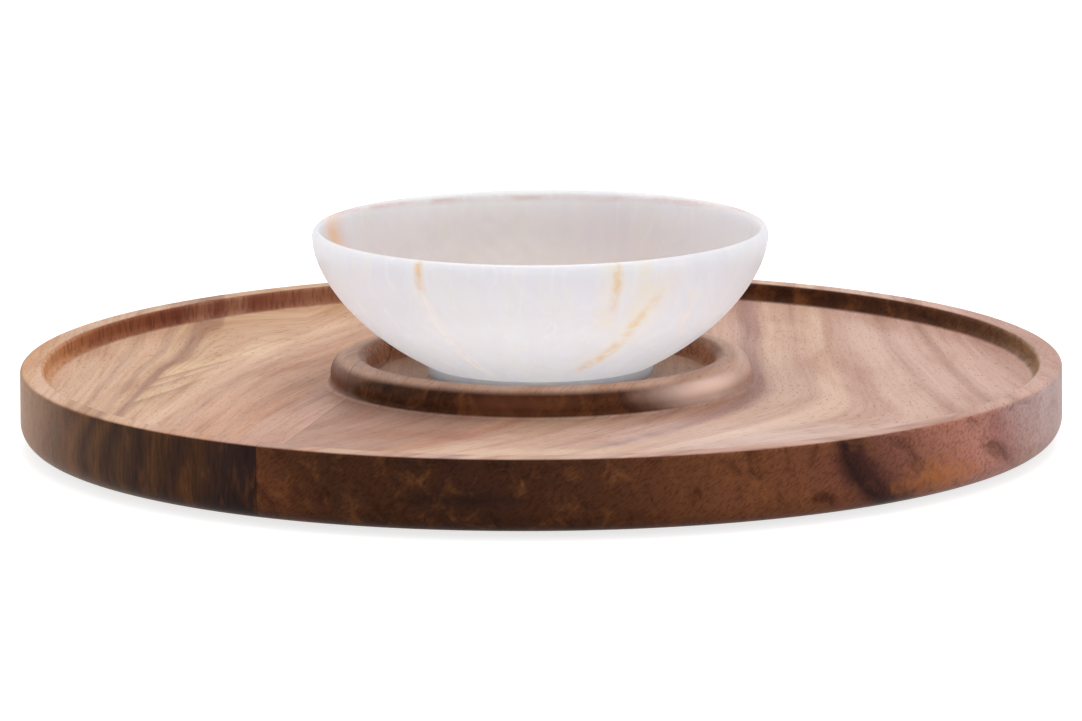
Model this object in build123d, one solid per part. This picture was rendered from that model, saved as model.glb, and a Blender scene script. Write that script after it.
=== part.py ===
from build123d import *
from math import cos, radians, sin
import os

# A round wooden serving tray with a stone dip bowl. The chips go in the shallow
# well round the outside, and the bowl stands in a round recess inside a raised
# bead at the centre. The tray is turned from a blank of two boards glued edge to
# edge, so rim, bead and recess are one section, cut by the glue line.
# The origin is under the tray's centre, on the surface that the feet stand on,
# and +Z is up. All sizes are in millimetres.

# --- Tray blank ---
tray_diameter = 457.0
blank_thickness = 33.0
base_edge_round = 10.0
board_joint_offset = 73.0
grain_angle = 13.6

# --- Rim and chip well ---
rim_width = 10.3
rim_edge_round = 2.0
well_depth = 8.0
well_wall_lean = 1.2
well_cove = 4.0

# --- Bead round the recess ---
bead_diameter = 186.0
bead_width = 15.5
bead_rise = 4.5
bead_outer_round = 8.0
bead_inner_round = 6.0
bead_foot_set_in = 0.9
bead_cove = 3.0

# --- Recess that the bowl stands in ---
recess_drop = 5.0
recess_wall_lean = 3.2
recess_cove = 2.0

# --- Dip bowl ---
bowl_diameter = 200.0
bowl_height = 65.4
bowl_foot_diameter = 98.6
bowl_foot_height = 5.2
bowl_foot_chamfer = 0.8
bowl_floor_thickness = 9.0
belly_fullness = 1.7
lip_thickness = 3.4
lip_outer_width = 2.3
lip_inner_width = 0.9
lip_shoulder_height = 3.6
lip_inner_height = 1.4

# --- Bumper feet under the tray ---
bumper_diameter = 16.0
bumper_stand_off = 2.5
bumper_edge_round = 1.2
bumper_seat_depth = 1.5
bumper_seat_clearance = 0.15
bumper_inset = 43.5
bumper_names = ["foot_back_right", "foot_back_left", "foot_front_left", "foot_front_right"]

# --- Levels and radii that follow from the sizes above ---
tray_radius = tray_diameter / 2
underside_level = bumper_stand_off
rim_level = underside_level + blank_thickness
well_level = rim_level - well_depth
crest_level = rim_level + bead_rise
recess_level = rim_level - recess_drop
bead_radius = bead_diameter / 2
bead_foot_radius = bead_radius - bead_foot_set_in
bead_inner_radius = bead_radius - bead_width
recess_radius = bead_inner_radius - recess_wall_lean
bumper_circle_radius = tray_radius - bumper_inset


def tray_section():
    """Half of the turned section, from the axis out to the rim, as a face in XZ."""
    bead_height = crest_level - well_level
    outer_round = min(bead_outer_round, bead_width / 2, 0.7 * bead_height)
    inner_round = min(bead_inner_round, bead_width / 2, 0.7 * bead_height)
    foot_cove = min(bead_cove, 0.3 * bead_height)
    well_wall_foot = tray_radius - rim_width - well_wall_lean
    corners = [
        ((0, underside_level), 0),
        ((tray_radius, underside_level), base_edge_round),
        ((tray_radius, rim_level), rim_edge_round),
        ((tray_radius - rim_width, rim_level), rim_edge_round),
        ((well_wall_foot, well_level), well_cove),
        ((bead_foot_radius, well_level), foot_cove),
        ((bead_radius, crest_level), outer_round),
        ((bead_inner_radius, crest_level), inner_round),
        ((recess_radius, recess_level), recess_cove),
        ((0, recess_level), 0),
    ]
    points = [(r, 0, z) for (r, z), _ in corners]
    rounds = [radius for _, radius in corners]
    outline = FilletPolyline(*points, radius=rounds, close=True)
    return make_face(outline.edges())


def bumper_centres():
    """Centres of the four feet, square to the boards and clear of the glue line."""
    quarter = 90
    first = quarter / 2 - grain_angle
    angles = [radians(first + quarter * i) for i in range(len(bumper_names))]
    return [(bumper_circle_radius * cos(a), bumper_circle_radius * sin(a)) for a in angles]


def bumper_seat(x, y):
    """The drilled seat in the tray's underside that one foot is pressed into."""
    radius = bumper_diameter / 2 + bumper_seat_clearance
    seat = Cylinder(radius, bumper_seat_depth, align=(Align.CENTER, Align.CENTER, Align.MIN))
    return Pos(x, y, underside_level) * seat


def bumper_foot(x, y):
    """One rubber foot, from the surface it stands on to the roof of its seat."""
    height = bumper_stand_off + bumper_seat_depth
    foot = Cylinder(bumper_diameter / 2, height, align=(Align.CENTER, Align.CENTER, Align.MIN))
    sole_edge = foot.edges().group_by(Axis.Z)[0]
    return Pos(x, y, 0) * fillet(sole_edge, bumper_edge_round)


def turned_tray():
    """The whole tray as the lathe leaves it, with the four foot seats drilled."""
    tray = revolve(tray_section(), axis=Axis.Z)
    for x, y in bumper_centres():
        tray -= bumper_seat(x, y)
    return tray


def tray_boards():
    """The tray cut at its glue line into the left board and the wide board."""
    across = Vector(cos(radians(grain_angle)), -sin(radians(grain_angle)), 0)
    glue_plane = Plane(origin=across * -board_joint_offset, z_dir=across)
    tray = turned_tray()
    left_board = split(tray, bisect_by=glue_plane, keep=Keep.BOTTOM)
    wide_board = split(tray, bisect_by=glue_plane, keep=Keep.TOP)
    return left_board, wide_board


def belly_radius(level, shoulder_level):
    """Outside radius of the bowl at a level between its foot and its shoulder.

    The belly is a superellipse that stands upright at the shoulder and meets the
    top of the foot at the foot's own radius.
    """
    rim_radius = bowl_diameter / 2
    foot_share = bowl_foot_diameter / bowl_diameter
    drop_share = (1 - foot_share**belly_fullness) ** (1 / belly_fullness)
    half_depth = (shoulder_level - bowl_foot_height) / drop_share
    depth_share = (shoulder_level - level) / half_depth
    return rim_radius * (1 - depth_share**belly_fullness) ** (1 / belly_fullness)


def quarter_ellipse(centre, half_width, half_height, start_angle):
    """A quarter of an ellipse in the XZ plane, about a centre given as (x, z)."""
    arc = EllipticalCenterArc(centre, half_width, half_height, start_angle, arc_size=90)
    return Plane.XZ * arc


def bowl_section():
    """Half of the bowl's section, with its foot standing at level 0, in XZ."""
    rim_radius = bowl_diameter / 2
    foot_radius = bowl_foot_diameter / 2
    shoulder_level = bowl_height - lip_shoulder_height
    inner_top = bowl_height - lip_inner_height
    inner_radius = rim_radius - lip_thickness
    belly_steps = 8
    rise = (shoulder_level - bowl_foot_height) / belly_steps
    levels = [bowl_foot_height + rise * i for i in range(belly_steps + 1)]
    belly_points = [(belly_radius(z, shoulder_level), 0, z) for z in levels]
    foot_side = (foot_radius, 0, bowl_foot_chamfer)
    foot_under = (foot_radius - bowl_foot_chamfer, 0, 0)
    inner_wall = quarter_ellipse((0, inner_top), inner_radius, inner_top - bowl_floor_thickness, 270)
    outer_roll = quarter_ellipse(
        (rim_radius - lip_outer_width, shoulder_level), lip_outer_width, lip_shoulder_height, 0
    )
    inner_roll = quarter_ellipse(
        (inner_radius + lip_inner_width, inner_top), lip_inner_width, lip_inner_height, 90
    )
    crown_out = (rim_radius - lip_outer_width, 0, bowl_height)
    crown_in = (inner_radius + lip_inner_width, 0, bowl_height)
    edges = [
        Line((0, 0, 0), foot_under),
        Line(foot_under, foot_side),
        Line(foot_side, belly_points[0]),
        Spline(*belly_points),
        outer_roll,
        Line(crown_out, crown_in),
        inner_roll,
        inner_wall,
        Line((0, 0, bowl_floor_thickness), (0, 0, 0)),
    ]
    return make_face(Wire([edge.edge() for edge in edges]))


def dip_bowl():
    """The carved stone bowl, standing on the floor of the recess."""
    return Pos(0, 0, recess_level) * revolve(bowl_section(), axis=Axis.Z)


def export_node(shape, name):
    """Write one sub-part to its own STEP file."""
    export_step(shape, f"parts/{name}.step")


def main():
    """Build every sub-part and write it under its node's name."""
    os.makedirs("parts", exist_ok=True)
    left_board, wide_board = tray_boards()
    export_node(left_board, "tray_left_board")
    export_node(wide_board, "tray_wide_board")
    export_node(dip_bowl(), "dip_bowl")
    for name, (x, y) in zip(bumper_names, bumper_centres()):
        export_node(bumper_foot(x, y), name)


main()
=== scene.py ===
"""Dresses a chip and dip server: a turned acacia tray and the white onyx bowl at its centre.

The tray is glued up from two boards, so each board is its own mesh and its own piece of timber. The bowl
stands loose in the beaded recess, and four rubber feet are pressed into the tray's underside.

Lengths are in millimetres throughout, and become metres where a mesh, a lamp or the camera is made.
"""

import logging
import math
from dataclasses import dataclass, field
from enum import Enum

import bmesh
import bpy
from bpy.types import Material, Node, NodeSocket, NodeTree, Object
from mathutils import Matrix, Vector


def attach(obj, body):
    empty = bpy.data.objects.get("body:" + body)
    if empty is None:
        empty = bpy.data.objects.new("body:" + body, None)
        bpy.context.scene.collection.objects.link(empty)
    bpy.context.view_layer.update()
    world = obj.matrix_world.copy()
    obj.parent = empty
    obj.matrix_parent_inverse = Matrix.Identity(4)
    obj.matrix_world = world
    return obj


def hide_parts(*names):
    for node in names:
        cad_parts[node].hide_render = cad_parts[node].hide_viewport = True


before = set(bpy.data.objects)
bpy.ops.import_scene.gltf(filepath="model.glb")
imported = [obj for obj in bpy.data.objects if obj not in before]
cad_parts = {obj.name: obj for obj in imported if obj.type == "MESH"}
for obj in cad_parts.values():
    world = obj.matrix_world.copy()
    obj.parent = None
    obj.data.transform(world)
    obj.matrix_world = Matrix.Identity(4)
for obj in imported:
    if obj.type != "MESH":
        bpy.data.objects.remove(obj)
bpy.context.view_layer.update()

log = logging.getLogger("chip_and_dip_server")

MM = 0.001
SHARP_ANGLE = math.radians(32)

# The property that holds what a node does, for each kind that does more than one thing.
MODES = {"Math": "operation", "VectorMath": "operation", "MixRGB": "blend_type",
         "MapRange": "interpolation_type", "VectorRotate": "rotation_type"}

Input = Node | NodeSocket | float | tuple
Triple = tuple[float, float, float]
Span = tuple[float, float]
Bands = tuple[tuple[float, str], ...]


# -------- Colours and nodes --------

def linear(code: str) -> tuple[float, float, float, float]:
    """Turn an sRGB hex colour into the linear RGBA that a shader works in.

    Args:
        code: The colour as "#rrggbb".

    Returns:
        Linear red, green and blue, with an alpha of 1.
    """
    shares = [int(code[i:i + 2], 16) / 255 for i in (1, 3, 5)]
    red, green, blue = [s / 12.92 if s <= 0.04045 else ((s + 0.055) / 1.055) ** 2.4 for s in shares]
    return red, green, blue, 1.0


def add_node(tree: NodeTree, kind: str, links: dict[str | int, Input] | tuple[Input, ...] = (),
             **settings: object) -> Node:
    """Add one shader node, with its input values, its links and its settings.

    Args:
        tree: The tree that the node joins.
        kind: The node's type name, without the "ShaderNode" that every one starts with. What follows a dot
            is its mode: an operation, a blend, an interpolation or an axis.
        links: A value, a socket or a node for each input, by the input's name or in the inputs' order. A
            node stands for its first output. "From" and "To" give an input's Min and Max as a pair.
        settings: The node's other properties.

    Returns:
        The new node.
    """
    kind, _, mode = kind.partition(".")
    node = tree.nodes.new("ShaderNode" + kind)
    if mode:
        settings[MODES[kind]] = mode
    for name, value in settings.items():
        setattr(node, name, value)
    for name, value in links.items() if isinstance(links, dict) else enumerate(links):
        if name in ("From", "To"):
            node.inputs[f"{name} Min"].default_value, node.inputs[f"{name} Max"].default_value = value
            continue
        if isinstance(value, Node):
            value = value.outputs[0]
        if isinstance(value, NodeSocket):
            tree.links.new(value, node.inputs[name])
        else:
            node.inputs[name].default_value = value
    return node


def ramp(tree: NodeTree, value: Input, bands: Bands) -> Node:
    """Colour a length by its bands.

    Args:
        tree: The material's tree.
        value: The length that picks the band.
        bands: The bands in order, as (millimetres, hex colour).

    Returns:
        A node whose first output is the band's colour.
    """
    low, high = bands[0][0], bands[-1][0]
    share = add_node(tree, "MapRange", {"Value": value, "From": (low, high)})
    node = add_node(tree, "ValToRGB", (share,))
    elements = node.color_ramp.elements
    while len(elements) < len(bands):
        elements.new(0.5)
    for element, (place, code) in zip(elements, bands):
        element.position = (place - low) / (high - low)
        element.color = linear(code)
    return node


def blank_material(name: str) -> tuple[Material, NodeTree]:
    """Make a node material with nothing in it.

    Args:
        name: The material's name.

    Returns:
        The material and its empty tree.
    """
    material = bpy.data.materials.new(name)
    material.use_nodes = True
    material.node_tree.nodes.clear()
    return material, material.node_tree


# -------- Turned sections --------

@dataclass(frozen=True)
class Corner:
    """A corner of a turned section, and the radius of the arc that rounds it over."""

    radius: float
    level: float
    rounding: float = 0.0

    @property
    def place(self) -> Vector:
        """The sharp corner, as (radius, level)."""
        return Vector((self.radius, self.level))


def round_over(corners: list[Corner]) -> list[Vector]:
    """Draw a section through its corners, each rounded over by its arc.

    Args:
        corners: The corners in order. The first and the last stay sharp.

    Returns:
        The section's points.
    """
    arc_step = math.radians(7.5)
    points = [corners[0].place]
    for before, corner, after in zip(corners, corners[1:], corners[2:]):
        if not corner.rounding:
            points.append(corner.place)
            continue
        back = (before.place - corner.place).normalized()
        ahead = (after.place - corner.place).normalized()
        half_angle = back.angle(ahead) / 2
        centre = corner.place + (back + ahead).normalized() * (corner.rounding / math.sin(half_angle))
        start = corner.place + back * (corner.rounding / math.tan(half_angle)) - centre
        turn = math.pi - 2 * half_angle
        steps = max(2, math.ceil(turn / arc_step))
        side = math.copysign(1, -back.x * ahead.y + back.y * ahead.x)
        points += [centre + Matrix.Rotation(side * turn * i / steps, 2) @ start for i in range(steps + 1)]
    return [*points, corners[-1].place]


def with_rings(outline: list[Vector], gap: float, hold: float) -> list[Vector]:
    """Divide a section's long runs, with a close ring beside each end to keep the flats flat when shaded.

    Args:
        outline: The section's points.
        gap: The widest run that is left whole.
        hold: How far the close rings lie from the ends of a run.

    Returns:
        The points with the rings between them.
    """
    points = [outline[0]]
    for start, end in zip(outline, outline[1:]):
        length = (end - start).length
        if length > 4 * hold:
            inner = length - 2 * hold
            count = max(1, math.ceil(inner / gap))
            shares = [(hold + inner * i / count) / length for i in range(count + 1)]
            points += [start.lerp(end, share) for share in shares]
        points.append(end)
    return points


def turn_on_lathe(outline: list[Vector], steps: int) -> bmesh.types.BMesh:
    """Spin a section about the Z axis into a closed skin.

    Args:
        outline: The section's points, from the axis underneath, out, and back to the axis on top.
        steps: How many flats go round.

    Returns:
        The skin, in metres.
    """
    skin = bmesh.new()
    angles = [math.tau * i / steps for i in range(steps)]
    directions = [Vector((math.cos(a), math.sin(a), 0)) for a in angles]
    rings = []
    for radius, level in outline:
        around = directions if radius > 0 else directions[:1]
        rings.append([skin.verts.new((spoke * radius + Vector((0, 0, level))) * MM) for spoke in around])
    for inner, outer in zip(rings, rings[1:]):
        for i in range(steps):
            j = (i + 1) % steps
            four = [ring[k % len(ring)] for ring, k in ((inner, i), (inner, j), (outer, j), (outer, i))]
            skin.faces.new(dict.fromkeys(four))
    return skin


def smooth_object(name: str, skin: bmesh.types.BMesh) -> Object:
    """Make an object of a skin, shaded smooth up to the edges that are really sharp.

    Args:
        name: The object's name.
        skin: The skin, which is used up.

    Returns:
        The new object, linked to the scene.
    """
    mesh = bpy.data.meshes.new(name)
    bmesh.ops.recalc_face_normals(skin, faces=skin.faces[:])
    skin.to_mesh(mesh)
    skin.free()
    item = bpy.data.objects.new(name, mesh)
    bpy.context.scene.collection.objects.link(item)
    keep_sharp_edges(item)
    return item


def keep_sharp_edges(item: Object) -> None:
    """Shade a mesh smooth, and leave every edge over the sharp angle as it is."""
    item.data.polygons.foreach_set("use_smooth", [True] * len(item.data.polygons))
    item.data.set_sharp_from_angle(angle=SHARP_ANGLE)


# -------- Marks in timber and stone --------

class Blend(Enum):
    """How a mark in a material colours what lies under it."""

    STAIN = "MULTIPLY"
    COVER = "MIX"


class Mark:
    """A mark that colours what lies under it. Each kind of mark says where it shows."""

    colour: str
    blend: Blend = Blend.COVER

    def amount(self, tree: NodeTree, place: Node) -> Node:
        """Work out how strongly the mark shows at each point, from 0 to its strength."""
        raise NotImplementedError

    def lay(self, tree: NodeTree, under: Input, place: Node) -> Node:
        """Colour a material with the mark.

        Args:
            tree: The material's tree.
            under: The colour so far.
            place: The point in millimetres. For a grain mark it is (across, along, up) as the grain runs.

        Returns:
            A node whose first output is the new colour.
        """
        amount = self.amount(tree, place)
        return add_node(tree, "MixRGB." + self.blend.value, (amount, under, linear(self.colour)))


@dataclass(frozen=True)
class GrainMark(Mark):
    """One kind of mark in timber, stretched along the grain.

    A mark's width is its real size across the grain. Its stretch says how many times longer it runs along
    the grain, and depth is its size through the board's thickness. It shows where its noise is over starts,
    and fully over full. wander bends it, and shift sets it apart from other marks of its size.
    """

    width: float
    stretch: float
    depth: float
    starts: float
    full: float
    colour: str
    strength: float
    blend: Blend = Blend.STAIN
    detail: float = 3.0
    roughness: float = 0.55
    wander: float = 0.0
    shift: float = 0.0

    def amount(self, tree: NodeTree, place: Node) -> Node:
        """Work out how strongly the mark shows at each point.

        Args:
            tree: The material's tree.
            place: The point as the grain runs, in millimetres: across, along and up.

        Returns:
            A node whose output is from 0 to the mark's strength.
        """
        sizes = (1 / self.width, 1 / (self.width * self.stretch), 1 / self.depth)
        shifts = (self.shift, self.shift / 2, self.shift / 3)
        scaled = add_node(tree, "VectorMath.MULTIPLY_ADD", (place, sizes, shifts))
        noise = add_node(tree, "TexNoise", {
            "Vector": scaled, "Scale": 1.0, "Detail": self.detail, "Roughness": self.roughness,
            "Distortion": self.wander})
        return add_node(tree, "MapRange.SMOOTHSTEP", {
            "Value": noise, "From": (self.starts, self.full), "To Max": self.strength})


@dataclass(frozen=True)
class Patch(Mark):
    """A local patch of colour in timber or stone: a soft ellipsoid whose edge is broken up into specks. Some
    patches are stains, and some are painted highlight, sheen, light or shade, as noted where they are
    listed.

    size is half of its extent each way. ragged is how far its edge is broken, as a share of that, and speck
    is how large the specks are.
    """

    centre: Triple
    size: Triple
    colour: str
    strength: float
    ragged: float = 1.2
    speck: float = 9.0
    detail: float = 4.0

    def amount(self, tree: NodeTree, place: Node) -> Node:
        """Work out how strongly the patch shows at each point.

        Args:
            tree: The material's tree.
            place: The point in millimetres.

        Returns:
            A node whose output is from 0 to the patch's strength.
        """
        offset = add_node(tree, "VectorMath.SUBTRACT", (place, self.centre))
        shares = add_node(tree, "VectorMath.DIVIDE", (offset, self.size))
        reach = add_node(tree, "VectorMath.LENGTH", (shares,))
        noise = add_node(tree, "TexNoise", {"Vector": place, "Scale": 1 / self.speck, "Detail": self.detail})
        torn = add_node(tree, "Math.MULTIPLY_ADD", (noise, self.ragged, reach.outputs["Value"]))
        return add_node(tree, "MapRange.SMOOTHSTEP", {
            "Value": torn, "From": (self.ragged / 2, 1 + self.ragged / 2), "To": (self.strength, 0.0)})


@dataclass(frozen=True)
class Vein(Mark):
    """A mineral vein in the stone: a thin, uneven sheet that shows as a line where the bowl's wall cuts it.

    normal and offset place the sheet, and low and high are the levels that it fades out at, from full_height
    of the way out. It wanders to each side, and in spots it thins to the share that is solid. front says
    whether it shows on the bowl's front or on the rest of it, and front_edge is where the two meet.
    """

    normal: Triple
    offset: float
    half_width: float
    low: float
    high: float
    colour: str
    strength: float
    wander: float = 3.0
    wander_size: float = 22.0
    spots: float = 6.0
    spot_edge: Span = (0.35, 0.65)
    solid: float = 0.35
    front: bool = True
    front_edge: Span = (-50.0, -20.0)
    full_height: float = 0.6

    def amount(self, tree: NodeTree, place: Node) -> Node:
        """Work out how strongly the vein shows at each point.

        Args:
            tree: The material's tree.
            place: The point in millimetres, above the middle of the bowl's foot.

        Returns:
            A node whose output is from 0 to the vein's strength.
        """
        _, y, z = add_node(tree, "SeparateXYZ", (place,)).outputs
        level = add_node(tree, "VectorMath.DOT_PRODUCT", (place, self.normal)).outputs["Value"]
        sway = add_node(tree, "TexNoise", {"Vector": place, "Scale": 1 / self.wander_size, "Detail": 4.0})
        swayed = add_node(tree, "Math.MULTIPLY_ADD", (sway, 2 * self.wander, level))
        gap = add_node(tree, "Math.SUBTRACT", (swayed, self.offset + self.wander))
        size = add_node(tree, "Math.ABSOLUTE", (gap,))
        share = add_node(tree, "MapRange.SMOOTHSTEP", {
            "Value": size, "From Max": self.half_width, "To": (self.strength, 0.0)})
        speckle = add_node(tree, "TexNoise", {"Vector": place, "Scale": 1 / self.spots, "Detail": 3.0})
        broken = add_node(tree, "MapRange.SMOOTHSTEP", {
            "Value": speckle, "From": self.spot_edge, "To": (self.solid, 1.0)})
        middle, half_span = (self.low + self.high) / 2, (self.high - self.low) / 2
        above = add_node(tree, "Math.SUBTRACT", (z, middle))
        away = add_node(tree, "Math.ABSOLUTE", (above,))
        height = add_node(tree, "MapRange.SMOOTHSTEP", {
            "Value": away, "From": (half_span * self.full_height, half_span), "To": (1.0, 0.0)})
        side = add_node(tree, "MapRange.SMOOTHSTEP", {
            "Value": y, "From": self.front_edge, "To": (float(self.front), float(not self.front))})
        for factor in (broken, height, side):
            share = add_node(tree, "Math.MULTIPLY", (share, factor))
        return share


# -------- The run of the grain --------

@dataclass(frozen=True)
class SweptGrain:
    """Grain that runs back on the board's right, and bows round to the left in front of the bead.

    bow is how sharply it curves. Past fan_start it fans out instead, and the curve starts further forward
    by fan_hold of the distance. Each change comes in softly, over blend millimetres.
    """

    bow: float = 0.0027
    fan_start: float = 100.0
    fan: float = 0.0019
    fan_hold: float = 1.1
    blend: float = 55.0

    def lay(self, tree: NodeTree, place: Node) -> Node:
        """Lay the grain out through the board.

        Args:
            tree: The material's tree.
            place: The point in millimetres.

        Returns:
            A node that gives (across, along, up) in millimetres, as the grain runs.
        """
        x, y, z = add_node(tree, "SeparateXYZ", (place,)).outputs
        past = add_node(tree, "Math.SUBTRACT", (x, self.fan_start))
        beyond = add_node(tree, "Math.SMOOTH_MAX", (past, 0.0, self.blend))
        held = add_node(tree, "Math.MULTIPLY_ADD", (beyond, self.fan_hold, y))
        ahead = add_node(tree, "Math.SMOOTH_MIN", (held, 0.0, self.blend))
        squared = add_node(tree, "Math.MULTIPLY", (ahead, ahead))
        bowed = add_node(tree, "Math.MULTIPLY_ADD", (squared, self.bow, x))
        lean = add_node(tree, "Math.MULTIPLY", (beyond, self.fan))
        across = add_node(tree, "Math.MULTIPLY_ADD", (lean, y, bowed))
        return add_node(tree, "CombineXYZ", (across, y, z))

    def growth(self, tree: NodeTree, place: Node, grain: Node) -> Node:
        """Tell which growth band each point lies in: how far it is across the grain."""
        return add_node(tree, "SeparateXYZ", (grain,))


@dataclass(frozen=True)
class ForkedGrain:
    """Grain beside a fork of the tree: it stands upright on the left past the fork, and leans on the right.

    Up to fork_level it leans by lean at lean_from, and by lean_gain more for each millimetre to the right.
    Past it, it leans as fork_leans says at the two sides of the fork. The wedge between the two stems is one
    wide, even growth band, placed by where it starts and by its band.
    """

    fork_level: float = 62.0
    blend: float = 30.0
    lean: float = 0.2
    lean_gain: float = 0.0025
    lean_from: float = -175.0
    fork: Span = (-150.0, -105.0)
    fork_leans: Span = (0.05, 0.42)
    wedge: Span = (-140.0, -162.0)
    wedge_slope: float = 3.0
    wedge_blend: float = 6.0

    def lay(self, tree: NodeTree, place: Node) -> Node:
        """Lay the grain out through the board.

        Args:
            tree: The material's tree.
            place: The point in millimetres.

        Returns:
            A node that gives (across, along, up) in millimetres, as the grain runs.
        """
        x, y, z = add_node(tree, "SeparateXYZ", (place,)).outputs
        low = add_node(tree, "Math.SMOOTH_MIN", (y, self.fork_level, self.blend))
        high = add_node(tree, "Math.SUBTRACT", (y, low))
        low_lean = add_node(tree, "Math.MULTIPLY_ADD",
                            (x, self.lean_gain, self.lean - self.lean_gain * self.lean_from))
        high_lean = add_node(tree, "MapRange", {"Value": x, "From": self.fork, "To": self.fork_leans})
        across = x
        for level, lean in ((low, low_lean), (high, high_lean)):
            shift = add_node(tree, "Math.MULTIPLY", (level, lean))
            across = add_node(tree, "Math.SUBTRACT", (across, shift))
        return add_node(tree, "CombineXYZ", (across, y, z))

    def growth(self, tree: NodeTree, place: Node, grain: Node) -> Node:
        """Tell which growth band each point lies in, with the wedge between the two stems held in one band.

        Args:
            tree: The material's tree.
            place: The point in millimetres.
            grain: The point as the grain runs, in millimetres: across, along and up.

        Returns:
            A node whose first output is how far it is across the growth.
        """
        x = add_node(tree, "SeparateXYZ", (place,)).outputs["X"]
        across = add_node(tree, "SeparateXYZ", (grain,)).outputs["X"]
        start, level = self.wedge
        rising = add_node(tree, "Math.MULTIPLY_ADD", (x, self.wedge_slope, level - self.wedge_slope * start))
        least = add_node(tree, "Math.MINIMUM", (rising, level))
        return add_node(tree, "Math.SMOOTH_MAX", (across, least, self.wedge_blend))


@dataclass(frozen=True)
class Feather:
    """The feather figure of a fork: pale leaves that leave a dark stem on its right and curl up along it.

    leaves are bands along the stem, by where each leaf starts. The leaves come out of the stem over edge
    millimetres, and fade out over ends at the first and the last of them.
    """

    stem: float
    leaves: Bands
    slope: float = 0.9
    curl: float = 0.11
    width: float = 24.0
    edge: Span = (0.5, 3.5)
    ends: Span = (1.0, 14.0)
    strength: float = 0.9

    def lay(self, tree: NodeTree, under: Input, grain: Node) -> Node:
        """Colour a material with the feather.

        Args:
            tree: The material's tree.
            under: The colour so far.
            grain: The point as the grain runs, in millimetres: across, along and up.

        Returns:
            A node whose first output is the new colour.
        """
        x, y, _ = add_node(tree, "SeparateXYZ", (grain,)).outputs
        aside = add_node(tree, "Math.SUBTRACT", (x, self.stem))
        steep = add_node(tree, "Math.MULTIPLY_ADD", (aside, self.curl, self.slope))
        climbed = add_node(tree, "Math.MULTIPLY", (aside, steep))
        start = add_node(tree, "Math.SUBTRACT", (y, climbed))
        sharp, soft = self.ends
        first, last = self.leaves[0][0], self.leaves[-1][0]
        share = add_node(tree, "MapRange.SMOOTHSTEP", {
            "Value": aside, "From": self.edge, "To Max": self.strength})
        fades = ((aside, self.width, self.width / 2), (start, first + sharp, first + soft),
                 (start, last - sharp, last - soft))
        for value, gone, whole in fades:
            fade = add_node(tree, "MapRange.SMOOTHSTEP", {"Value": value, "From": (gone, whole)})
            share = add_node(tree, "Math.MULTIPLY", (share, fade))
        return add_node(tree, "MixRGB", (share, under, ramp(tree, start, self.leaves)))


# -------- Finishes --------

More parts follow.
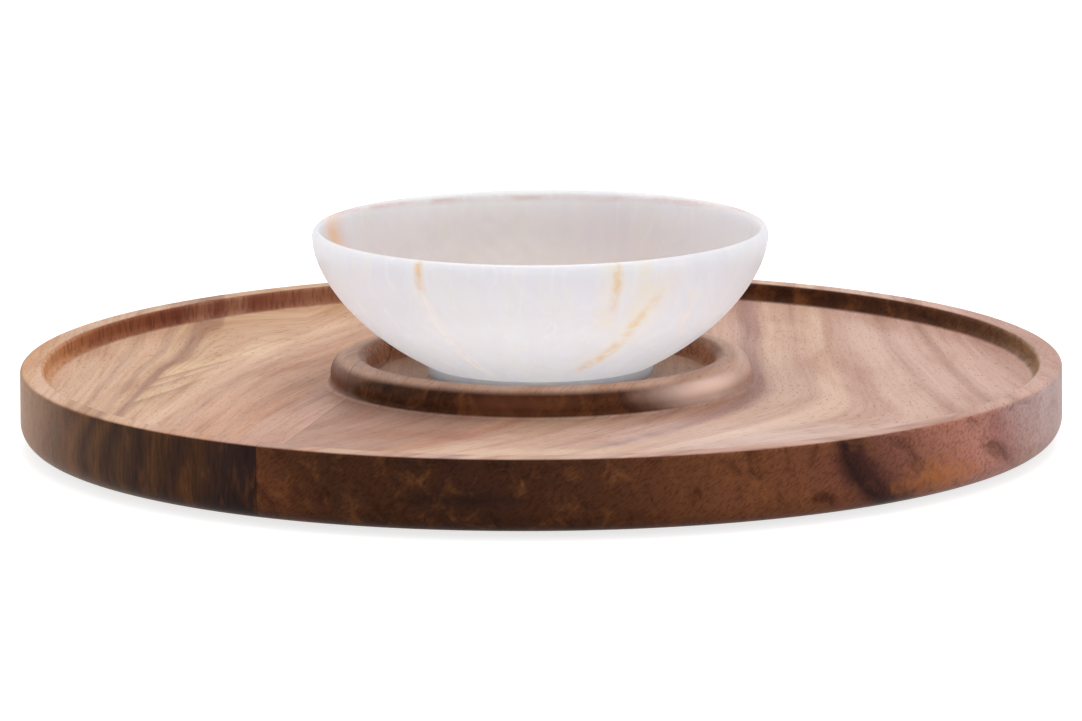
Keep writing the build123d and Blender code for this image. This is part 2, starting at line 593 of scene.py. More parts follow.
@dataclass(frozen=True)
class OiledAcacia:
    """Acacia, turned, sanded and oiled. The oil deepens the brown and leaves a low sheen, not a gloss.

    bands are the growth bands that the flat faces show, by the distance across the growth. end_bands are the
    same for the turned sides, which cut the fibres across and soak up far more oil, and wall_bands are for
    the rim's inner wall, where oil also gathers. The wall bands also paint light and shade onto that wall:
    paler at the far left, where the wall faces the light, and darkest on the right and at the back, where it
    faces away. The recess's wall, within recess_reach, has one colour.

    side_soak is how much of the sides' colour the right and left faces take, which run along the fibres. The
    spans that end in _turn are the parts of the surface's normal where one look gives way to the next. The
    pores are drawn at 0.7 mm, since real ones of about 0.2 mm are too fine to show.
    """

    name: str
    flow: SweptGrain | ForkedGrain
    bands: Bands
    end_bands: Bands
    wall_bands: Bands
    marks: tuple[GrainMark, ...]
    end_marks: tuple[GrainMark, ...]
    patches: tuple[Patch, ...] = ()
    end_patches: tuple[Patch, ...] = ()
    feather: Feather | None = None
    wander_size: Triple = (45.0, 140.0, 40.0)
    band_wander: float = 4.0
    end_slant: float = -0.33
    end_wander: float = 5.0
    end_tilt: float = 0.0
    side_soak: float = 0.3
    recess_wall: str = "#dba27c"
    recess_reach: float = 85.0
    top_turn: Span = (0.6, 0.98)
    base_turn: Span = (-0.99, -0.9)
    front_turn: Span = (0.12, 0.5)
    inward_turn: Span = (-0.7, -0.1)
    line_colour: str = "#6b4a38"
    line_edge: Span = (0.1, 0.3)
    line_strength: float = 0.45
    pores: GrainMark = GrainMark(0.7, 8, 1.0, 0.58, 0.74, "#9a7d6a", 0.4, detail=1, shift=31.0)
    pore_depth: float = 0.1
    pore_relief: float = 0.15
    sheen_roughness: float = 0.42
    pore_roughness: float = 0.55
    oil_ior: float = 1.47
    oil_specular: float = 0.06

    def material(self, glue_normal: Vector, glue_offset: float) -> Material:
        """Build the timber's material.

        Args:
            glue_normal: The direction across the glue line.
            glue_offset: How far the glue line lies from the tray's axis, along that direction.

        Returns:
            The material, solid through the board, so that every cut shows the grain that is there.
        """
        material, tree = blank_material(self.name)
        coordinates = add_node(tree, "TexCoord")
        normal = coordinates.outputs["Normal"]
        place = add_node(tree, "VectorMath.SCALE", {0: coordinates.outputs["Object"], "Scale": 1 / MM})
        outward = add_node(tree, "VectorMath.MULTIPLY", (place, (1, 1, 0)))
        grain = self.wandered(tree, self.flow.lay(tree, place), self.band_wander)
        colour = ramp(tree, self.flow.growth(tree, place, grain), self.bands)
        if self.feather:
            colour = self.feather.lay(tree, colour, grain)
        for patch in self.patches:
            colour = patch.lay(tree, colour, place)
        for mark in (*self.marks, self.pores):
            colour = mark.lay(tree, colour, grain)
        inward = self.faces_in(tree, normal, outward)
        cut = add_node(tree, "Math.MAXIMUM", (self.cut_across(tree, normal), inward))
        ends = self.end_colour(tree, place, outward, inward)
        colour = add_node(tree, "MixRGB", (cut, colour, ends))
        colour = self.draw_glue_line(tree, colour, place, glue_normal, glue_offset)
        pore = self.pores.amount(tree, grain)
        rough = add_node(tree, "MapRange", {
            "Value": pore, "To": (self.sheen_roughness, self.pore_roughness)})
        relief = add_node(tree, "Bump", {
            "Height": pore, "Strength": self.pore_relief, "Distance": self.pore_depth * MM}, invert=True)
        surface = add_node(tree, "BsdfPrincipled", {
            "Base Color": colour, "Roughness": rough, "IOR": self.oil_ior,
            "Specular IOR Level": self.oil_specular, "Normal": relief})
        add_node(tree, "OutputMaterial", {"Surface": surface})
        return material

    def wandered(self, tree: NodeTree, grain: Node, reach: float) -> Node:
        """Let the growth bands wander a little from their course, as slowly as they run.

        Args:
            tree: The material's tree.
            grain: The point as the grain runs, in millimetres: across, along and up.
            reach: How far a band wanders to each side, in millimetres.

        Returns:
            A node that gives the wandered point.
        """
        slow = add_node(tree, "VectorMath.MULTIPLY", (grain, tuple(1 / size for size in self.wander_size)))
        noise = add_node(tree, "TexNoise", {"Vector": slow, "Scale": 1.0, "Detail": 1.0, "Roughness": 0.45})
        centred = add_node(tree, "VectorMath.SUBTRACT", (noise.outputs["Color"], (0.5, 0.5, 0.5)))
        # The noise strays about a quarter to each side of its middle.
        return add_node(tree, "VectorMath.MULTIPLY_ADD", (centred, (4 * reach, 0, 0), grain))

    def cut_across(self, tree: NodeTree, normal: NodeSocket) -> Node:
        """Tell how much of the fibres' ends a face shows, from 0 on the flats to 1 in front and behind.

        Args:
            tree: The material's tree.
            normal: The surface's own normal.

        Returns:
            A node whose first output is the share.
        """
        _, y, z = add_node(tree, "SeparateXYZ", (normal,)).outputs
        facing = add_node(tree, "Math.ABSOLUTE", (y,))
        share = add_node(tree, "MapRange", {
            "Value": facing, "From": self.front_turn, "To": (self.side_soak, 1.0)})
        for gone, whole in (self.top_turn[::-1], self.base_turn):
            fade = add_node(tree, "MapRange.SMOOTHSTEP", {"Value": z, "From": (gone, whole)})
            share = add_node(tree, "Math.MULTIPLY", (share, fade))
        return share

    def faces_in(self, tree: NodeTree, normal: NodeSocket, outward: Node) -> Node:
        """Tell how far a face looks in at the tray's axis: 1 on the rim's inner wall and on the recess's.

        Args:
            tree: The material's tree.
            normal: The surface's own normal.
            outward: The way out from the tray's axis to the point, in millimetres.

        Returns:
            A node whose first output is the share.
        """
        spoke = add_node(tree, "VectorMath.NORMALIZE", (outward,))
        turned = add_node(tree, "VectorMath.DOT_PRODUCT", (normal, spoke)).outputs["Value"]
        return add_node(tree, "MapRange.SMOOTHSTEP", {
            "Value": turned, "From": self.inward_turn, "To": (1.0, 0.0)})

    def end_colour(self, tree: NodeTree, place: Node, outward: Node, inward: Node) -> Node:
        """Colour the turned sides and the walls.

        Args:
            tree: The material's tree.
            place: The point in millimetres.
            outward: The way out from the tray's axis to the point, in millimetres.
            inward: How far a face looks in at the tray's axis.

        Returns:
            A node whose first output is the sides' colour.
        """
        x, _, z = add_node(tree, "SeparateXYZ", (self.wandered(tree, place, self.end_wander),)).outputs
        slanted = add_node(tree, "Math.MULTIPLY_ADD", (z, self.end_slant, x))
        reach = add_node(tree, "VectorMath.LENGTH", (outward,)).outputs["Value"]
        outside = add_node(tree, "Math.GREATER_THAN", (reach, self.recess_reach))
        wall = add_node(tree, "MixRGB", (outside, linear(self.recess_wall), ramp(tree, x, self.wall_bands)))
        colour = add_node(tree, "MixRGB", (inward, ramp(tree, slanted, self.end_bands), wall))
        tilted = add_node(tree, "VectorRotate.Y_AXIS", {
            "Vector": place, "Angle": math.radians(self.end_tilt)})
        for mark in self.end_marks:
            colour = mark.lay(tree, colour, tilted)
        for patch in self.end_patches:
            colour = patch.lay(tree, colour, place)
        return colour

    def draw_glue_line(self, tree: NodeTree, under: Node, place: Node, normal: Vector,
                       offset: float) -> Node:
        """Draw the hairline where the boards meet. A real one is 0.1 mm wide, which is too fine to show, so
        this one is 0.2 mm wide and fades out over the next 0.2 mm to each side.

        Args:
            tree: The material's tree.
            under: The colour so far.
            place: The point in millimetres.
            normal: The direction across the glue line.
            offset: How far the glue line lies from the tray's axis, along that direction.

        Returns:
            A node whose first output is the new colour.
        """
        across = add_node(tree, "VectorMath.DOT_PRODUCT", (place, tuple(normal))).outputs["Value"]
        gap = add_node(tree, "Math.ADD", (across, offset))
        near = add_node(tree, "Math.ABSOLUTE", (gap,))
        line = add_node(tree, "MapRange.SMOOTHSTEP", {
            "Value": near, "From": self.line_edge, "To": (self.line_strength, 0.0)})
        return add_node(tree, "MixRGB.MULTIPLY", (line, under, linear(self.line_colour)))


LEFT_TIMBER = OiledAcacia(
    name="oiled_acacia_pale",
    flow=ForkedGrain(),
    bands=((-240, "#cd9c74"), (-225, "#cb9d78"), (-216, "#d2ad93"), (-206, "#cda98f"), (-197, "#d2ad91"),
           (-193, "#bd9880"), (-190, "#d0ab90"), (-185, "#d1ab8e"), (-181, "#bb967e"), (-178, "#cda888"),
           (-174.5, "#c6a084"), (-172, "#a9836f"), (-169, "#b59077"), (-166, "#d0ad8d"),
           (-160, "#cfa98c"), (-150, "#d6b297"), (-140, "#cea68d"), (-131, "#c49e86"), (-125, "#cea287"),
           (-118, "#c2997f"), (-110, "#cc9f84"), (-103, "#be947c"), (-96, "#cb9c80"), (-86, "#c09783"),
           (-70, "#c49b89")),
    end_bands=((-235, "#8f6136"), (-222, "#82532f"), (-213, "#664026"), (-206, "#573420"), (-200, "#6a4526"),
               (-195, "#46291a"), (-190, "#5f3e22"), (-185, "#3a2317"), (-179, "#533620"), (-173, "#38211a"),
               (-167, "#52341d"), (-160, "#38221a"), (-153, "#4d301c"), (-146, "#3c251b"), (-140, "#31201c"),
               (-128, "#2c1b18"), (-110, "#44291e"), (-92, "#543223"), (-70, "#573424")),
    # Painted light: the palest bands, at the far left, are the part of the wall that faces the light.
    wall_bands=((-222, "#d39a6c"), (-208, "#b9794e"), (-196, "#96593a"), (-180, "#8d5438"),
                (-160, "#7a4432"), (-150, "#9c6a52"), (-143, "#7d4937"), (-134, "#a5765e"),
                (-126, "#7c4636"), (-105, "#96644c"), (-80, "#8a5a42"), (-50, "#7a4a36")),
    marks=(
        GrainMark(26, 4, 24, 0.4, 0.72, "#dccabb", 0.6, shift=3.1, wander=0.4),
        GrainMark(7, 12, 8, 0.45, 0.75, "#d2b19a", 0.4, shift=7.7, detail=4),
        GrainMark(1.8, 30, 3, 0.42, 0.72, "#ccb09b", 0.35, shift=21.0, detail=2),
    ),
    end_marks=(
        GrainMark(5, 1.5, 20, 0.48, 0.75, "#84502c", 0.35, Blend.COVER, detail=4, wander=0.5, shift=2.0),
        GrainMark(1.2, 3, 10, 0.42, 0.7, "#8a6a55", 0.45, detail=3, shift=5.0),
    ),
    patches=(
        Patch((-124, 88, 28), (16, 60, 60), "#e2c5a8", 0.6, speck=22),
        Patch((-160, 157, 34), (26, 14, 5), "#a37c72", 0.6, speck=7),
        # Painted shade: darkens the left of the bead, and the floor beside it, where the light from the
        # right does not reach.
        Patch((-90, -15, 33), (14, 80, 6.5), "#855640", 0.85, speck=8, ragged=0.6),
        # Painted highlight along the bead's crest.
        Patch((0, 0, 40.5), (240, 240, 4.5), "#f8d2b4", 0.95, speck=14, ragged=0.3),
    ),
    end_patches=(
        # Painted shade: darkens the bead's left side, where the light from the right does not reach.
        Patch((-88, -10, 34), (12, 60, 12), "#5c3626", 0.8, speck=8, ragged=0.6),
    ),
    feather=Feather(stem=-171.0, strength=0.8, leaves=(
        (-75, "#c9a58c"), (-64, "#c9a58c"), (-52, "#b18d75"), (-48.5, "#b38b6d"), (-46, "#d9b992"),
        (-36, "#d7b692"), (-24, "#c7a389"), (-15, "#b38f77"), (-12, "#b69075"), (-10, "#d7b793"),
        (-4, "#caa68a"), (6, "#b38f77"), (8, "#b69173"), (10.5, "#dcbd96"), (26, "#d9ba95"),
        (52, "#cba88c"))),
    end_slant=-0.08,
    side_soak=0.5,
)

WIDE_TIMBER = OiledAcacia(
    name="oiled_acacia_dark",
    flow=SweptGrain(),
    bands=((-60, "#b38e7c"), (-20, "#af8a79"), (2, "#b48f7d"), (10, "#c69a81"), (16, "#ba8d78"),
           (24, "#c6a28b"), (40, "#cfae98"), (52, "#caa592"), (66, "#caa592"), (74, "#b69080"),
           (79, "#caa593"), (87, "#c39f8f"), (93, "#ab887e"), (98, "#b59186"), (102, "#cba895"),
           (105, "#d3b29d"), (111, "#ceac99"), (117, "#c29d8b"), (123, "#d2b19c"), (130, "#d1b09b"),
           (134, "#c29d8b"), (143, "#c09b8b"), (150, "#ccaa9b"), (160, "#cdab9c"), (165, "#bc9789"),
           (171, "#ccaa9c"), (180, "#c7a395"), (184, "#b18c7f"), (189, "#caa697"), (203, "#c6a194"),
           (210, "#b99385"), (240, "#c39f92")),
    # The pale lilac bands at the right end are partly the paler side grain there, and partly a painted sheen
    # of the light grazing the side.
    end_bands=((-130, "#55301f"), (-112, "#653a24"), (-100, "#55301c"), (-80, "#46291a"), (-60, "#482918"),
               (-40, "#3e2316"), (-15, "#422416"), (10, "#472717"), (35, "#512f1d"), (60, "#643a25"),
               (85, "#73452d"), (115, "#7b4a30"), (137, "#784735"), (144, "#2f1815"), (150, "#45251f"),
               (158, "#7c4c3e"), (170, "#96604f"), (184, "#b07463"), (198, "#c08475"), (207, "#a87268"),
               (213, "#b88b84"), (220, "#c19e9b"), (232, "#cab1b5")),
    # Painted shade: this board's wall faces away from the light, and its very dark bands paint that shade
    # in.
    wall_bands=((-60, "#5a3424"), (-20, "#4a2817"), (40, "#40210f"), (90, "#4a2917"), (130, "#3d200f"),
                (165, "#4a2a18"), (190, "#58361f"), (206, "#6d4a30"), (214, "#8d6a48"), (222, "#b08e6c")),
    marks=(
        GrainMark(26, 4, 24, 0.4, 0.72, "#dccabf", 0.6, shift=1.7, wander=0.4),
        GrainMark(7, 12, 8, 0.45, 0.75, "#d1b1a4", 0.32, shift=9.2, detail=4),
        GrainMark(1.8, 30, 3, 0.42, 0.72, "#cbb0a4", 0.22, shift=25.0, detail=2),
    ),
    end_marks=(
        GrainMark(20, 1.4, 13, 0.5, 0.76, "#7d5c4b", 0.7, detail=5, wander=1.2, shift=12.0),
        GrainMark(12, 1.3, 11, 0.47, 0.78, "#945c34", 0.45, Blend.COVER, detail=6, wander=0.8, shift=4.0),
        GrainMark(0.9, 2.2, 2.6, 0.42, 0.7, "#8a6a5c", 0.45, detail=2, shift=8.0),
    ),
    patches=(
        # Painted light: lightens the recess floor, which lies in the shade of the bowl.
        Patch((0, 0, 31), (220, 220, 3.2), "#fcd6b6", 1.0, speck=14, ragged=0.3),
        # Painted highlight along the bead's crest.
        Patch((0, 0, 40.5), (240, 240, 4.5), "#f6d0b6", 0.95, speck=14, ragged=0.3),
        Patch((-52, -128, 27), (56, 24, 60), "#a3715b", 0.7, speck=12),
        Patch((-10, -172, 27), (80, 20, 60), "#e3c7ad", 0.7, speck=16),
        Patch((95, -140, 27), (105, 55, 60), "#ecdbd4", 0.35, speck=18),
        # Partly the paler side grain of the bead's right, and partly a painted sheen of the light on the
        # right.
        Patch((90, -30, 35), (24, 60, 9), "#f5d3c3", 0.9, speck=12, ragged=0.4),
    ),
    end_patches=(
        Patch((-32, -226, 17), (30, 30, 5), "#25140f", 0.8, speck=7, ragged=1.6),
        Patch((172, -148, 13), (36, 40, 11), "#b5703f", 0.65, speck=4, ragged=1.8),
        # Partly the paler side grain of the bead's right front, and partly a painted sheen of the light on
        # the right.
        Patch((76, -54, 35), (56, 58, 11), "#f6d5c6", 1.0, speck=18, ragged=0.3),
        Patch((-12, -90, 33), (48, 14, 9), "#6e402a", 0.7, speck=9, ragged=0.6),
    ),
    end_tilt=-50.0,
    end_slant=0.38,
    band_wander=2.5,
    pores=GrainMark(0.7, 8, 1.0, 0.58, 0.74, "#977a6d", 0.4, detail=1, shift=35.0),
)


@dataclass(frozen=True)
class HonedOnyx:
    """White onyx marble, carved and honed. Light sinks in and clouds, and the satin face has no highlight.

    glow_depth is how far light spreads in the wall, and foot_glow how far in the foot. One gives way to the
    other between the two heights of foot_reach.
    """

    name: str = "honed_white_onyx"
    body: str = "#d2d2de"
    clouds: tuple[GrainMark, ...] = (
        GrainMark(38, 1, 60, 0.36, 0.68, "#c9c6d8", 0.85, Blend.COVER, detail=5, wander=1.2),
        GrainMark(24, 1, 60, 0.45, 0.72, "#d6d1cd", 0.75, Blend.COVER, detail=5, wander=1.2, shift=5),
        GrainMark(7, 1, 60, 0.52, 0.8, "#e6e5ec", 0.35, Blend.COVER, detail=5, wander=1.0, shift=9),
    )
    veins: tuple[Vein, ...] = (
        Vein((0.95, 0.31, 0), 8, 58, 0, 90, "#effbff", 0.95, wander=10, spots=30, solid=0.5, front=False),
        Vein((0.72, -0.694, 0), 20.6, 7.0, 16, 84, "#ead6be", 0.7, wander=1.5, spots=9, solid=0.6),
        Vein((0.72, -0.694, 0), 20.8, 3.4, 44, 90, "#cf8228", 1.0, wander=1.5, spots=5, solid=0.7),
        Vein((0.72, -0.694, 0), 20.6, 3.6, 4, 60, "#f3ebdf", 0.8, wander=1.5, spots=6, solid=0.4),
        Vein((0.72, -0.694, 0), 20.6, 1.8, 12, 24, "#e0a95c", 0.9, wander=1.5, spots=5, solid=0.2),
        Vein((0.803, 0.374, -0.464), -13.2, 14.0, 10, 66, "#e4caa8", 0.9, wander=3, spots=12, solid=0.6),
        Vein((0.803, 0.374, -0.464), -13.0, 4.8, 6, 54, "#da9040", 1.0, wander=3, spots=7, solid=0.25),
        Vein((0.98, 0.2, 0), 26.0, 10.0, 34, 90, "#e2c8a4", 0.9, wander=3, spots=9, solid=0.6),
        Vein((0.95, 0.31, 0), 0.4, 9.5, 28, 90, "#e0c49e", 0.9, wander=3, spots=9, solid=0.6),
        Vein((0.95, 0.31, 0), 2.2, 3.6, 40, 90, "#d5913e", 1.0, wander=3, spots=6, solid=0.3),
        Vein((0.94, 0.34, 0), 38.0, 3.8, 24, 52, "#e8cba6", 0.6, spots=6),
        # A mauve band just under the lip at the back, laid as a flat sheet.
        Vein((0, 0.06, 1), 68.0, 2.8, 40, 86, "#a98078", 0.9, wander=0.5, spots=16, solid=0.55, front=False),
    )
    patches: tuple[Patch, ...] = (
        Patch((-90, 30, 57), (22, 17, 22), "#f09a68", 1.0, ragged=0.6, speck=8),
    )
    roughness: float = 0.42
    stone_ior: float = 1.5
    glow_depth: float = 50.0
    foot_glow: float = 180.0
    foot_reach: Span = (4.0, 42.0)

    def material(self, foot_level: float) -> Material:
        """Build the stone's material.

        Args:
            foot_level: The level that the bowl stands at.

        Returns:
            The material, solid through the bowl's wall.
        """
        material, tree = blank_material(self.name)
        coordinates = add_node(tree, "TexCoord")
        scaled = add_node(tree, "VectorMath.SCALE", {0: coordinates.outputs["Object"], "Scale": 1 / MM})
        place = add_node(tree, "VectorMath.SUBTRACT", (scaled, (0, 0, foot_level)))
        colour = linear(self.body)
        for layer in (*self.clouds, *self.veins, *self.patches):
            colour = layer.lay(tree, colour, place)
        # The thick foot gathers light from the whole bowl above it, so it stays as bright as the wall.
        height = add_node(tree, "SeparateXYZ", (place,)).outputs["Z"]
        glow = add_node(tree, "MapRange", {
            "Value": height, "From": self.foot_reach, "To": (self.foot_glow * MM, self.glow_depth * MM)})
        surface = add_node(tree, "BsdfPrincipled", {
            "Base Color": colour, "Roughness": self.roughness, "IOR": self.stone_ior,
            "Subsurface Weight": 1.0, "Subsurface Radius": (1.0, 1.0, 1.0), "Subsurface Scale": glow})
        add_node(tree, "OutputMaterial", {"Surface": surface})
        return material


@dataclass(frozen=True)
class MouldedRubber:
    """Black elastomer, compression moulded. A fine matt skin that only catches light at its edges."""

    name: str = "moulded_rubber"
    colour: str = "#26241f"
    light_colour: str = "#34322d"
    roughness: float = 0.75
    grain_size: float = 0.5
    grain_depth: float = 0.05
    grain_relief: float = 0.3

    def material(self) -> Material:
        """Build the rubber's material, with its moulded grain drawn at half a millimetre.

        Returns:
            The material.
        """
        material, tree = blank_material(self.name)
        place = add_node(tree, "TexCoord").outputs["Object"]
        grain = add_node(tree, "TexNoise", {
            "Vector": place, "Scale": 1 / (self.grain_size * MM), "Detail": 2.0})
        tone = add_node(tree, "MixRGB", (grain, linear(self.colour), linear(self.light_colour)))
        relief = add_node(tree, "Bump", {
            "Height": grain, "Strength": self.grain_relief, "Distance": self.grain_depth * MM})
        surface = add_node(tree, "BsdfPrincipled", {
            "Base Color": tone, "Roughness": self.roughness, "Normal": relief})
        add_node(tree, "OutputMaterial", {"Surface": surface})
        return material


# -------- The object --------

class Board(Enum):
    """The two boards that the tray is glued up from, by the CAD node of each."""

    LEFT = "tray_left_board"
    WIDE = "tray_wide_board"


@dataclass
class BumperFeet:
    """The four rubber feet and the seats that they are pressed into."""

    diameter: float = 16.0
    stand_off: float = 2.5
    edge_round: float = 1.2
    top_edge_round: float = 0.3
    seat_depth: float = 1.5
    seat_clearance: float = 0.15
    drill_run_in: float = 1.0
    circle_radius: float = 185.0
    flats_round: int = 48
    drill_flats: int = 64
    first_angle: float = math.radians(31.4)
    names: tuple[str, ...] = ("foot_back_right", "foot_back_left", "foot_front_left", "foot_front_right")
    finish: MouldedRubber = field(default_factory=MouldedRubber)

    def centres(self) -> list[Vector]:
        """The middle of each foot, on the surface that it stands on."""
        angles = [self.first_angle + math.tau / 4 * i for i in range(len(self.names))]
        return [Vector((math.cos(a), math.sin(a), 0)) * self.circle_radius for a in angles]

    def seat_cutter(self, centre: Vector) -> Object:
        """Make the drill that cuts one seat. It runs in from below the tray, so that it cuts clean.

        Args:
            centre: The middle of the foot.

        Returns:
            The drill.
        """
        radius = self.diameter / 2 + self.seat_clearance
        floor, roof = self.stand_off - self.drill_run_in, self.stand_off + self.seat_depth
        outline = [Vector(point) for point in ((0, floor), (radius, floor), (radius, roof), (0, roof))]
        cutter = smooth_object("seat_cutter", turn_on_lathe(outline, self.drill_flats))
        cutter.location = centre * MM
        return cutter

    def build(self) -> list[Object]:
        """Mould the four feet, dress them and stand each in for its CAD node.

        Returns:
            The feet.
        """
        radius, roof = self.diameter / 2, self.stand_off + self.seat_depth
        corners = [Corner(0, 0), Corner(radius, 0, self.edge_round),
                   Corner(radius, roof, self.top_edge_round), Corner(0, roof)]
        outline = with_rings(round_over(corners), gap=3.0, hold=0.2)
        material = self.finish.material()
        feet = []
        for name, centre in zip(self.names, self.centres()):
            skin = turn_on_lathe(outline, self.flats_round)
            bmesh.ops.translate(skin, verts=skin.verts[:], vec=centre * MM)
            foot = smooth_object(name + "_rubber", skin)
            foot.data.materials.append(material)
            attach(foot, "tray")
            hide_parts(name)
            feet.append(foot)
        return feet


@dataclass
class ServingTray:
    """The turned tray: rim, chip well, bead and recess, all in one section of two glued boards."""

    diameter: float = 457.0
    underside: float = 2.5
    thickness: float = 33.0
    base_edge_round: float = 10.0
    rim_width: float = 10.3
    rim_edge_round: float = 2.0
    well_depth: float = 8.0
    well_wall_lean: float = 1.2
    well_cove: float = 4.0
    bead_diameter: float = 186.0
    bead_width: float = 15.5
    bead_rise: float = 4.5
    bead_outer_round: float = 8.0
    bead_inner_round: float = 6.0
    bead_foot_set_in: float = 0.9
    bead_cove: float = 3.0
    recess_drop: float = 5.0
    recess_wall_lean: float = 3.2
    recess_cove: float = 2.0
    glue_offset: float = 73.0
    glue_angle: float = math.radians(13.6)
    flats_round: int = 512
    feet: BumperFeet = field(default_factory=BumperFeet)
    timber: dict[Board, OiledAcacia] = field(
        default_factory=lambda: {Board.LEFT: LEFT_TIMBER, Board.WIDE: WIDE_TIMBER})
    slots: dict[Board, str] = field(
        default_factory=lambda: {Board.LEFT: "tray_wood_pale", Board.WIDE: "tray_wood"})

    @property
    def radius(self) -> float:
        """The tray's outside radius."""
        return self.diameter / 2

    @property
    def rim_level(self) -> float:
        """The level of the top of the rim."""
        return self.underside + self.thickness

    @property
    def recess_level(self) -> float:
        """The level of the floor that the bowl stands on."""
        return self.rim_level - self.recess_drop

    @property
    def glue_normal(self) -> Vector:
        """The direction across the glue line, towards the wide board."""
        return Vector((math.cos(self.glue_angle), -math.sin(self.glue_angle), 0))

    def section(self) -> list[Vector]:
        """Draw half of the turned section, from the axis underneath to the axis on top.

        Returns:
            The section's points.
        """
        well = self.rim_level - self.well_depth
        crest = self.rim_level + self.bead_rise
        bead = self.bead_diameter / 2
        bead_foot = bead - self.bead_foot_set_in
        bead_inner = bead - self.bead_width
        rim_inner = self.radius - self.rim_width
        corners = [
            Corner(0, self.underside),
            Corner(self.radius, self.underside, self.base_edge_round),
            Corner(self.radius, self.rim_level, self.rim_edge_round),
            Corner(rim_inner, self.rim_level, self.rim_edge_round),
            Corner(rim_inner - self.well_wall_lean, well, self.well_cove),
            Corner(bead_foot, well, self.bead_cove),
            Corner(bead, crest, self.bead_outer_round),
            Corner(bead_inner, crest, self.bead_inner_round),
            Corner(bead_inner - self.recess_wall_lean, self.recess_level, self.recess_cove),
            Corner(0, self.recess_level),
        ]
        return with_rings(round_over(corners), gap=12.0, hold=0.35)

    def saw_board(self, board: Board) -> Object:
        """Turn the tray, saw it at the glue line and keep one board.

        Args:
            board: Which board to keep.

        Returns:
            The board, with its foot seats drilled.
        """
        skin = turn_on_lathe(self.section(), self.flats_round)
        everything = skin.verts[:] + skin.edges[:] + skin.faces[:]
        cut = bmesh.ops.bisect_plane(
            skin, geom=everything, dist=1e-7, plane_co=self.glue_normal * -self.glue_offset * MM,
            plane_no=self.glue_normal, clear_outer=board is Board.LEFT, clear_inner=board is Board.WIDE)
        edges = [item for item in cut["geom_cut"] if isinstance(item, bmesh.types.BMEdge)]
        bmesh.ops.triangle_fill(skin, use_beauty=True, edges=edges)
        item = smooth_object(board.value + "_turned", skin)
        side = -1 if board is Board.LEFT else 1
        mine = [c for c in self.feet.centres() if side * (c @ self.glue_normal + self.glue_offset) > 0]
        self.drill(item, [self.feet.seat_cutter(centre) for centre in mine])
        return item

    def drill(self, board: Object, cutters: list[Object]) -> None:
        """Drill the foot seats into a board, and put the drills away.

        Args:
            board: The board.
            cutters: The drills, which are used up.
        """
        for cutter in cutters:
            drilling = board.modifiers.new("drill", "BOOLEAN")
            drilling.operation = "DIFFERENCE"
            drilling.solver = "EXACT"
            drilling.object = cutter
        graph = bpy.context.evaluated_depsgraph_get()
        drilled = bpy.data.meshes.new_from_object(board.evaluated_get(graph))
        board.modifiers.clear()
        board.data = drilled
        for cutter in cutters:
            bpy.data.meshes.remove(cutter.data)
        keep_sharp_edges(board)

    def build(self) -> list[Object]:
        """Make both boards and their feet, dress them and stand each in for its CAD node.

        Returns:
            The boards and the feet.
        """
        pieces = []
        for board in Board:
            item = self.saw_board(board)
            item.data.materials.clear()
            item.data.materials.append(self.timber[board].material(self.glue_normal, self.glue_offset))
            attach(item, "tray")
            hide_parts(board.value)
            pieces.append(item)
        return pieces + self.feet.build()


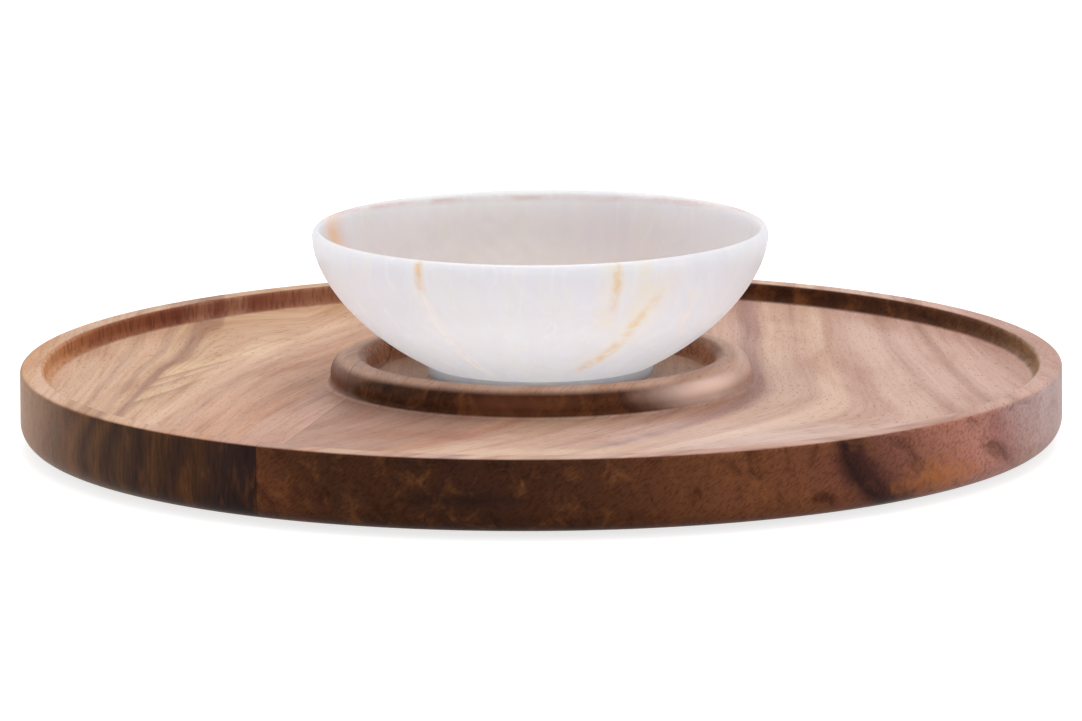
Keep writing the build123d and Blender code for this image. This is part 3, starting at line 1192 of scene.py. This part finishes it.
@dataclass
class DipBowl:
    """The carved stone bowl: a flat foot, a full belly and a rolled lip."""

    stands_at: float
    diameter: float = 200.0
    height: float = 65.4
    foot_diameter: float = 98.6
    foot_height: float = 5.2
    foot_chamfer: float = 0.8
    floor_thickness: float = 9.0
    belly_fullness: float = 1.7
    lip_thickness: float = 3.4
    lip_outer_width: float = 2.3
    lip_inner_width: float = 0.9
    lip_shoulder_height: float = 3.6
    lip_inner_height: float = 1.4
    belly_steps: int = 44
    lip_steps: tuple[int, int] = (10, 6)
    inside_steps: int = 48
    flats_round: int = 320
    finish: HonedOnyx = field(default_factory=HonedOnyx)

    def belly(self, level: float) -> float:
        """Give the outside radius at a level: a superellipse, upright at the shoulder, that meets the foot.

        Args:
            level: The height above the bowl's foot.

        Returns:
            The outside radius there.
        """
        power = self.belly_fullness
        shoulder = self.height - self.lip_shoulder_height
        foot_share = self.foot_diameter / self.diameter
        half_depth = (shoulder - self.foot_height) / (1 - foot_share**power) ** (1 / power)
        depth_share = (shoulder - level) / half_depth
        return self.diameter / 2 * (1 - depth_share**power) ** (1 / power)

    def quarter(self, centre: Span, width: float, height: float,
                first: float, steps: int) -> list[Vector]:
        """Draw a quarter of an ellipse, turning anticlockwise.

        Args:
            centre: The ellipse's middle, as (radius, level).
            width: Half of its width.
            height: Half of its height.
            first: The angle that the quarter starts at.
            steps: How many spans it is divided into.

        Returns:
            The quarter's points.
        """
        angles = [first + math.pi / 2 * i / steps for i in range(steps + 1)]
        return [Vector(centre) + Vector((width * math.cos(a), height * math.sin(a))) for a in angles]

    def section(self) -> list[Vector]:
        """Draw half of the bowl's section, from the axis underneath to the axis inside.

        Returns:
            The section's points.
        """
        rim = self.diameter / 2
        foot = self.foot_diameter / 2
        shoulder = self.height - self.lip_shoulder_height
        inner = rim - self.lip_thickness
        inner_top = self.height - self.lip_inner_height
        rise = (shoulder - self.foot_height) / self.belly_steps
        levels = [self.foot_height + rise * i for i in range(self.belly_steps)]
        foot_points = with_rings([Vector((0, 0)), Vector((foot - self.foot_chamfer, 0)),
                                  Vector((foot, self.foot_chamfer)), Vector((foot, self.foot_height))],
                                 gap=8.0, hold=0.25)
        outer_roll = self.quarter((rim - self.lip_outer_width, shoulder), self.lip_outer_width,
                                  self.lip_shoulder_height, 0, self.lip_steps[0])
        inner_roll = self.quarter((inner + self.lip_inner_width, inner_top), self.lip_inner_width,
                                  self.lip_inner_height, math.pi / 2, self.lip_steps[1])
        inside = self.quarter((0, inner_top), inner, inner_top - self.floor_thickness,
                              -math.pi / 2, self.inside_steps)
        belly_points = [Vector((self.belly(level), level)) for level in levels[1:]]
        points = [*foot_points, *belly_points, *outer_roll, *inner_roll, *inside[-2:0:-1]]
        points.append(Vector((0, self.floor_thickness)))
        return [point + Vector((0, self.stands_at)) for point in points]

    def build(self) -> list[Object]:
        """Carve the bowl, dress it and stand it in for its CAD node.

        Returns:
            The bowl.
        """
        bowl = smooth_object("dip_bowl_carved", turn_on_lathe(self.section(), self.flats_round))
        bowl.data.materials.append(self.finish.material(self.stands_at))
        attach(bowl, "bowl")
        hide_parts("dip_bowl")
        return [bowl]


# -------- The studio --------

@dataclass(frozen=True)
class SoftBox:
    """A square soft lamp, aimed at the object's middle."""

    name: str
    place: Triple
    side: float
    watts: float
    colour: str = "#ffffff"

    def hang(self, aim: Vector) -> Object:
        """Hang the lamp where it belongs.

        Args:
            aim: The point that it faces.

        Returns:
            The lamp.
        """
        light = bpy.data.lights.new(self.name, "AREA")
        light.shape = "SQUARE"
        light.size = self.side * MM
        light.energy = self.watts
        light.color = linear(self.colour)[:3]
        lamp = bpy.data.objects.new(self.name, light)
        lamp.location = Vector(self.place) * MM
        lamp.rotation_euler = (aim * MM - lamp.location).to_track_quat("-Z", "Y").to_euler()
        lamp.visible_camera = False
        bpy.context.scene.collection.objects.link(lamp)
        return lamp


@dataclass
class Studio:
    """A pale floor, soft light, and a long lens that looks low across the tray."""

    tray_radius: float
    rim_level: float
    aim_lift: float = 0.9
    lens: float = 520.0
    sensor: float = 36.0
    distance_in_radii: float = 30.0
    elevation: float = math.radians(10.3)
    roll: float = math.radians(-0.4)
    floor_radius: float = 14000.0
    floor_sides: int = 96
    floor_colour: str = "#bcbcbc"
    floor_lift: float = 0.75
    ambient: float = 0.62
    lamps: tuple[SoftBox, ...] = (
        SoftBox("overhead_soft_box", (150, 350, 2000), 1700, 25),
        SoftBox("right_soft_box", (2200, -900, 400), 900, 8),
        SoftBox("left_soft_box", (-2300, -300, 400), 900, 3),
        SoftBox("front_soft_box", (-200, -2400, 250), 1000, 9),
    )

    @property
    def aim(self) -> Vector:
        """The point just over the middle of the rim that the camera and the lamps face."""
        return Vector((0, 0, self.rim_level + self.aim_lift))

    def lay_floor(self) -> Object:
        """Lay the floor, which shows white to the eye and still takes the object's shadow.

        Returns:
            The floor.
        """
        skin = bmesh.new()
        bmesh.ops.create_circle(
            skin, cap_ends=True, segments=self.floor_sides, radius=self.floor_radius * MM)
        floor = smooth_object("studio_floor", skin)
        material, tree = blank_material("studio_floor_paper")
        seen = self.seen_directly(tree)
        lift = add_node(tree, "Math.MULTIPLY", (seen, self.floor_lift))
        paper = add_node(tree, "BsdfDiffuse", {"Color": linear(self.floor_colour)})
        glow = add_node(tree, "Emission", {"Strength": lift})
        surface = add_node(tree, "AddShader", (paper, glow))
        add_node(tree, "OutputMaterial", {"Surface": surface})
        floor.data.materials.append(material)
        return floor

    def seen_directly(self, tree: NodeTree) -> Node:
        """Tell whether a ray comes from the eye, a reflection or a look through glass.

        Args:
            tree: The floor's or the room's tree.

        Returns:
            A node whose output is 1 for such a ray, and 0 for light on its way to the object.
        """
        path = add_node(tree, "LightPath").outputs
        mirror = add_node(tree, "Math.MAXIMUM", (path["Is Camera Ray"], path["Is Glossy Ray"]))
        return add_node(tree, "Math.MAXIMUM", (mirror, path["Is Transmission Ray"]))

    def light_world(self) -> bpy.types.World:
        """Fill the room with a plain grey light, and show white where the eye meets it.

        Returns:
            The room's world.
        """
        world = bpy.data.worlds.new("studio_room")
        world.use_nodes = True
        tree = world.node_tree
        tree.nodes.clear()
        strength = add_node(tree, "MapRange", {
            "Value": self.seen_directly(tree), "To": (self.ambient, 1.0)})
        room = add_node(tree, "Background", {"Color": linear("#ffffff"), "Strength": strength})
        add_node(tree, "OutputWorld", {"Surface": room})
        bpy.context.scene.world = world
        return world

    def stand_camera(self) -> Object:
        """Stand the camera in front, at the height that looks down across the tray at a low angle.

        Returns:
            The camera.
        """
        data = bpy.data.cameras.new("studio_camera")
        data.lens = self.lens
        data.sensor_width = self.sensor
        camera = bpy.data.objects.new("studio_camera", data)
        bpy.context.scene.collection.objects.link(camera)
        distance = self.distance_in_radii * self.tray_radius
        back = Vector((0, -math.cos(self.elevation), math.sin(self.elevation)))
        camera.location = (self.aim + back * distance) * MM
        upright = Matrix.Rotation(math.pi / 2 - self.elevation, 4, "X")
        camera.rotation_euler = (upright @ Matrix.Rotation(self.roll, 4, "Z")).to_euler()
        data.clip_end = 4 * distance * MM
        bpy.context.scene.camera = camera
        return camera

    def build(self) -> list[Object]:
        """Set up the floor, the room's light, the lamps and the camera.

        Returns:
            The floor, the camera and the lamps.
        """
        bpy.context.scene.view_settings.view_transform = "Standard"
        self.light_world()
        return [self.lay_floor(), self.stand_camera(), *(lamp.hang(self.aim) for lamp in self.lamps)]


def main() -> None:
    """Build the studio, the tray and the bowl, in that order."""
    logging.basicConfig(level=logging.INFO, format="%(message)s")
    tray = ServingTray()
    studio = Studio(tray.radius, tray.rim_level)
    bowl = DipBowl(stands_at=tray.recess_level)
    for assembly in (studio, tray, bowl):
        for piece in assembly.build():
            log.info("%s: %s", type(assembly).__name__, piece.name)


if __name__ == "__main__":
    main()
